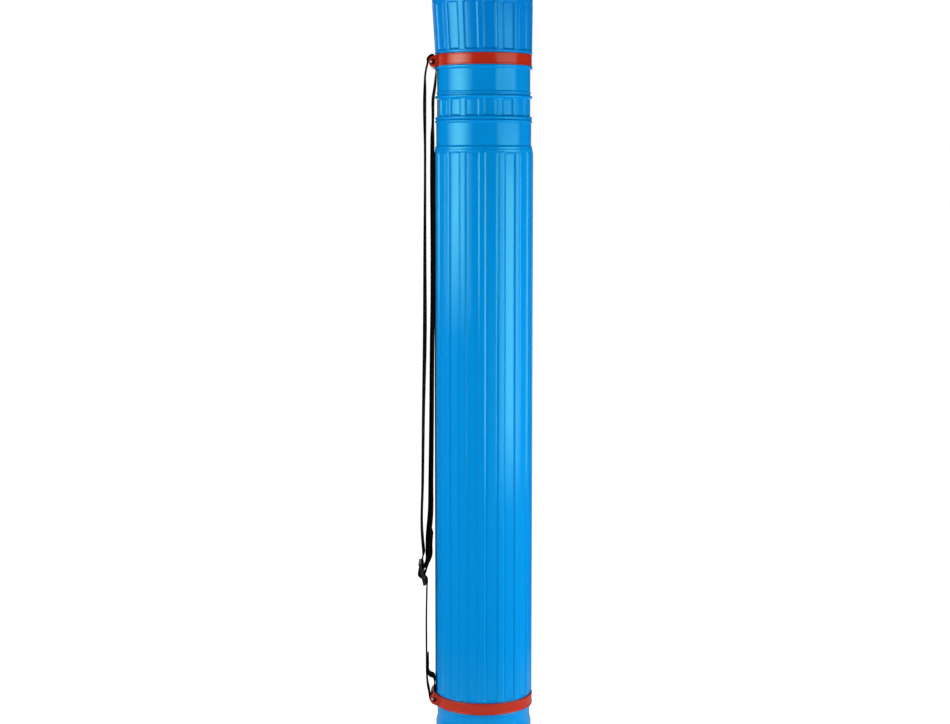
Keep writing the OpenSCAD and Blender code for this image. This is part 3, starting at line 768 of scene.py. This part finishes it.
def build_upper_loop():
    """The doubled webbing: a wrap over the upper lug, and an outer and an inner run."""
    top = up_lug_z

    def run_z(share):
        """Height at a share of the run, from the slider to the lug."""
        return JOIN_Z + share * (top - JOIN_Z)

    def curl(points):
        """How far the webbing's edges turn in where it goes over the outer side of the lug."""
        outer = smoothstep((points[:, 0] - LUG_RHO + 2) / 4)
        return CURL * outer * smoothstep((points[:, 1] - top + 1) / 4)

    out_run = [
        (OUT_JOIN, JOIN_Z, 4), (SLIDER_RHO + 0.4, run_z(0.044), 3), (SLIDER_RHO - 0.4, run_z(0.152), 3.5),
        (SLIDER_RHO - 1.4, run_z(0.29), 4.5), (SLIDER_RHO - 3, run_z(0.449), 7),
        (SLIDER_RHO - 3.3, run_z(0.619), 4.5), (SLIDER_RHO - 3.8, run_z(0.82), 2),
        (SLIDER_RHO - 3.8, top - 26, 3.5), (LUG_RHO + WRAP_R + 2.7, top - 10, 0),
        (LUG_RHO + WRAP_R + 1.5, top - 4, 0),
    ]
    over_bar = polar(LUG_RHO, top, WRAP_R, 17, 66, 8) + polar(BAR_IN, top + BAR_CORNER, HUG_R, 75, 170, 4)
    in_run = [
        (BAR_IN - HUG_R, top + BAR_CORNER - 0.8, 0), (BAR_IN - HUG_R - 0.3, top + 1, 0),
        (HEAD_R + 0.95, top - 6, 0), (HEAD_R + 1.2, top - 12, 3), (HEAD_R + 2, top - 22, 6),
        (SIDE_R + 0.3, top - 36, 7), (SIDE_R + 0.5, top - 53, 6), (SIDE_R + 0.7, top - 62, 6),
        (SIDE_R + 1, run_z(0.86), 9), (SIDE_R + 1.1, run_z(0.82), 11), (SIDE_R + 1.1, run_z(0.619), 11),
        (SIDE_R + 1.3, run_z(0.521), 11), (SIDE_R + 2, run_z(0.419), 12), (SIDE_R + 2.6, run_z(0.29), 12.5),
        (SIDE_R + 3.5, run_z(0.152), 13.5), (SIDE_R + 4.1, run_z(0.08), 15),
        (SIDE_R + 6.4, run_z(0.03), 14), (IN_JOIN, JOIN_Z, 13),
    ]
    path, lengths = smooth_path(out_run + over_bar + in_run)
    first = int(np.argmax(path[:, 1] > SQUASH_Z))
    last = len(path) - int(np.argmax(path[::-1, 1] > SQUASH_Z))
    cuts = {
        "strap_upper_wrap": slice(first - 1, last + 1),
        "strap_outer_run": slice(0, first),
        "strap_inner_run": slice(last, len(path)),
    }
    pieces = {}
    for name, cut in cuts.items():
        pieces[name] = webbing_object(name, [ribbon(path[cut], lengths[cut], curl)])
        place(pieces[name], "inner", "black_webbing", "strap_upper_loop")
    squash_run(pieces["strap_outer_run"])
    squash_run(pieces["strap_inner_run"])


def build_slider_wrap():
    """The webbing in the slider: the running length and the sewn end round the middle bar."""
    loop_r = BAR_R + HUG_R
    end = SLIDER_H / 2  # outer edge of the end bars
    inside = end - SLIDER_T - 0.5  # just inside the end bars
    behind = -SLIDER_T / 2 - HUG_R  # the running length, behind the end bars
    second = behind - 1.95 * WEB_LAYER  # the sewn end on its way down
    third = behind - 3.2 * WEB_LAYER  # its tail on the way up
    running = [
        (LOW_JOIN, LEAVE_Z, 0), (*at_slider(-end, behind), 0), (*at_slider(-inside, behind), 0),
        *round_bar(loop_r + 1.1 * WEB_LAYER, 133, 47, 6),
        (*at_slider(inside, behind), 0), (*at_slider(end, behind), 1), (OUT_JOIN, JOIN_Z, 4),
    ]
    sewn = [
        (IN_JOIN, JOIN_Z, 13), (*at_slider(inside, second), 3),
        *round_bar(loop_r, 44, 242, 10),
        (*at_slider(inside, third), -3), (IN_JOIN - 1.5 * WEB_LAYER, JOIN_Z, -12),
        (IN_JOIN - 1.6 * WEB_LAYER, JOIN_Z + 12, -12), (SIDE_R + 2.2, JOIN_Z + 24, -5),
    ]
    path, lengths = smooth_path(sewn, step=0.7)
    cut = len(path) - int(np.argmax(path[::-1, 1] <= JOIN_Z))
    strips = [ribbon(*smooth_path(running, step=0.7)), ribbon(path[:cut], lengths[:cut])]
    place(webbing_object("strap_slider_webbing", strips), "slider", "black_webbing", "strap_slider_wrap")
    tail = webbing_object("strap_sewn_tail", [ribbon(path[cut - 1:], lengths[cut - 1:])])
    place(tail, "inner", "black_webbing", "strap_upper_loop")
    squash_run(tail)


def build_lower_run():
    """The single webbing down to the lower lug, round its bar and back up to where it is sewn."""
    sewn_lo = low_lug_z + SEWN_UP
    sewn_hi = sewn_lo + SEWN_H
    inner = LOW_JOIN - WEB_LAYER
    points = [
        (LOW_JOIN, LEAVE_Z, 0), (LOW_JOIN + 0.6, (LEAVE_Z + sewn_hi) / 2, 0),
        (LOW_JOIN + 0.5, sewn_hi, 0), (LOW_JOIN + 0.4, sewn_lo, 0),
        (LOW_JOIN - 0.5, low_lug_z + 12.4, 0), (LUG_RHO + WRAP_R + 0.6, low_lug_z + 3.6, 0),
        *polar(LUG_RHO, low_lug_z, WRAP_R, -10, -66, 8),
        *polar(BAR_IN, low_lug_z - BAR_CORNER, HUG_R, -75, -170, 4),
        (BAR_IN - HUG_R, low_lug_z - BAR_CORNER + 0.8, 0), (BAR_IN - HUG_R - 0.15, low_lug_z, 0),
        (BAR_IN - HUG_R - 0.1, low_lug_z + BAR_CORNER - 0.8, 0), (SIDE_R + 0.3, low_lug_z + 8, 0),
        (SIDE_R + 0.3, sewn_lo - 8, 0), (SIDE_R + 0.9, sewn_lo - 5.9, 0), (SIDE_R + 3, sewn_lo - 4.8, 0),
        (inner - 1.9, sewn_lo - 4.3, 0), (inner - 0.3, sewn_lo - 2.4, 0),
        (inner + 0.2, sewn_lo + 5, 0), (inner + 0.4, sewn_lo + 10, 0), (inner + 0.45, sewn_hi, 0),
    ]
    piece = webbing_object("strap_lower_webbing", [ribbon(*smooth_path(points, step=0.8))])
    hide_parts("strap_lower_run")
    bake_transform(piece)


def build_camera():
    """The photograph's viewpoint: 1.85 m in front of the tube's axis, and looking down a little."""
    down = 5.89
    camera = bpy.data.objects.new("camera", bpy.data.cameras.new("camera"))
    camera.data.sensor_width = 36
    camera.data.lens = 68.9
    camera.location = (-0.0088, -1.848, 0.574)
    camera.rotation_euler = (math.radians(90 - down), 0, 0)
    bpy.context.scene.collection.objects.link(camera)
    bpy.context.scene.camera = camera


def softbox(name, azimuth, distance, low, high, width, radiance, glossy=True):
    """An upright area light at an azimuth to the left (-) or right (+) of the camera's side."""
    light = bpy.data.lights.new(name, "AREA")
    light.shape = "RECTANGLE"
    light.size = width
    light.size_y = high - low
    light.energy = radiance * math.pi * light.size * light.size_y
    obj = bpy.data.objects.new(name, light)
    a = math.radians(azimuth)
    obj.location = (distance * math.sin(a), -distance * math.cos(a), (low + high) / 2)
    obj.rotation_euler = (math.radians(90), 0, a)
    obj.visible_camera = False
    obj.visible_glossy = glossy
    bpy.context.scene.collection.objects.link(obj)


def soft_edged(name, azimuth, distance, low, high, spread, halves, radiance):
    """A softbox whose light fades at its edges: layers of growing width, given as half angles."""
    for k, half in enumerate(halves):
        width = 2 * distance * math.tan(math.radians(half))
        grow = spread * k
        softbox(f"{name}_{k}", azimuth, distance + 0.01 * k, low - grow, high + grow, width, radiance)


def build_lamps():
    """Three soft-edged lights, which the gloss shows as stripes, and three fills without gloss."""
    soft_edged("left_softbox", -62, 1.3, 0.48, 1.3, spread=0.04, halves=(10, 16, 22, 28, 34), radiance=0.68)
    soft_edged("right_softbox", 63, 1.3, 0.14, 0.56, spread=0.04, halves=(10, 17, 24, 31), radiance=0.74)
    soft_edged("right_upper_softbox", 56, 1.4, 0.72, 0.78, spread=0.05, halves=(24, 28), radiance=0.75)
    softbox("front_fill", 32, 1.0, 0.02, 0.4, width=0.7, radiance=4.6, glossy=False)
    softbox("right_fill", 95, 1.0, 0.02, 0.42, width=0.8, radiance=5.2, glossy=False)
    softbox("left_fill", -90, 1.1, 0.02, 0.5, width=0.9, radiance=4.2, glossy=False)


def studio_gloss(tree, direction, white):
    """Brightness that gloss sees in a direction, where white is that of the side behind the tube."""
    split = add_node(tree, "ShaderNodeSeparateXYZ", {"Vector": direction})
    return soft_range(tree, split.outputs["Y"], *BACK_WHITE, FRONT_GLOSS, white)


def glowing(tree, kind, strength):
    """White light given off by a background or a surface."""
    return add_node(tree, kind, {"Color": WHITE, "Strength": strength}).outputs[0]


def by_ray(tree, matte, gloss, seen):
    """One shader for what matte surfaces take, one for what gloss shows, and one for what the
    camera sees, also through clear pieces."""
    path = add_node(tree, "ShaderNodeLightPath").outputs
    straight = math_node(tree, "MAXIMUM", path["Is Camera Ray"], path["Is Transmission Ray"])
    other = add_node(tree, "ShaderNodeMixShader", {0: path["Is Glossy Ray"], 1: matte, 2: gloss})
    return add_node(tree, "ShaderNodeMixShader", {0: straight, 1: other.outputs[0], 2: seen}).outputs[0]


def build_world():
    """White all round for the camera, a soft even fill for matte colour, and the studio for gloss."""
    world = bpy.data.worlds.new("studio")
    bpy.context.scene.world = world
    world.use_nodes = True
    tree = world.node_tree
    tree.nodes.clear()
    direction = add_node(tree, "ShaderNodeTexCoord").outputs["Generated"]
    fill = glowing(tree, "ShaderNodeBackground", 0.18)
    gloss = glowing(tree, "ShaderNodeBackground", studio_gloss(tree, direction, 1.0))
    seen = glowing(tree, "ShaderNodeBackground", 1.0)
    output = add_node(tree, "ShaderNodeOutputWorld")
    tree.links.new(by_ray(tree, fill, gloss, seen), output.inputs["Surface"])


def floor_material():
    """The camera sees the floor glow nearly white, with a faint shadow of the tube. In gloss the
    studio goes on in it, with a glowing patch round the tube's foot: painted light for the tube's
    lower parts to reflect."""
    material = bpy.data.materials.new("floor")
    material.use_nodes = True
    tree = material.node_tree
    tree.nodes.clear()
    where = add_node(tree, "ShaderNodeTexCoord").outputs["Object"]
    direction = add_node(tree, "ShaderNodeVectorMath", {0: where}, operation="NORMALIZE").outputs[0]
    distance = add_node(tree, "ShaderNodeVectorMath", {0: where}, operation="LENGTH").outputs["Value"]
    # A glowing patch round the foot that only gloss sees: painted light for the lower parts' reflections
    painted_glow_patch = soft_range(tree, distance, start=0.1, end=0.45, first=0.28, last=0)
    mirrored = math_node(tree, "ADD", studio_gloss(tree, direction, 0.9), painted_glow_patch)
    gloss = glowing(tree, "ShaderNodeEmission", mirrored)
    matte = add_node(tree, "ShaderNodeBsdfDiffuse", {"Color": (0.85, 0.85, 0.85, 1)}).outputs[0]
    faint = add_node(tree, "ShaderNodeBsdfDiffuse", {"Color": (0.45, 0.45, 0.45, 1)}).outputs[0]
    glow = glowing(tree, "ShaderNodeEmission", 0.96)
    seen = add_node(tree, "ShaderNodeAddShader", {0: faint, 1: glow}).outputs[0]
    output = add_node(tree, "ShaderNodeOutputMaterial")
    tree.links.new(by_ray(tree, matte, gloss, seen), output.inputs["Surface"])
    material.cycles.emission_sampling = "NONE"
    return material


def build_floor():
    """A plain white floor under the tube."""
    half = 30  # half its width, in metres
    corners = [(-half, -half, 0), (half, -half, 0), (half, half, 0), (-half, half, 0)]
    mesh = bpy.data.meshes.new("floor")
    mesh.from_pydata(corners, [], [(0, 1, 2, 3)])
    mesh.materials.append(floor_material())
    floor = bpy.data.objects.new("floor", mesh)
    bpy.context.scene.collection.objects.link(floor)


build_camera()
build_world()
build_floor()
build_lamps()

place(build_outer_tube(), "outer", "blue_plastic", "outer_tube")
place(build_inner_tube(), "inner", "blue_plastic", "inner_tube")
place(build_cap(), "cap", "blue_plastic", "cap")
dress("lower_strap_ring", red)
dress("upper_strap_ring", red)
build_pin("lower_strap_pin_mesh", "outer", low_lug_z)
build_pin("upper_strap_pin_mesh", "inner", up_lug_z)
dress("strap_slider", black)
build_upper_loop()
build_slider_wrap()
build_lower_run()

bpy.context.scene.view_settings.view_transform = "Standard"
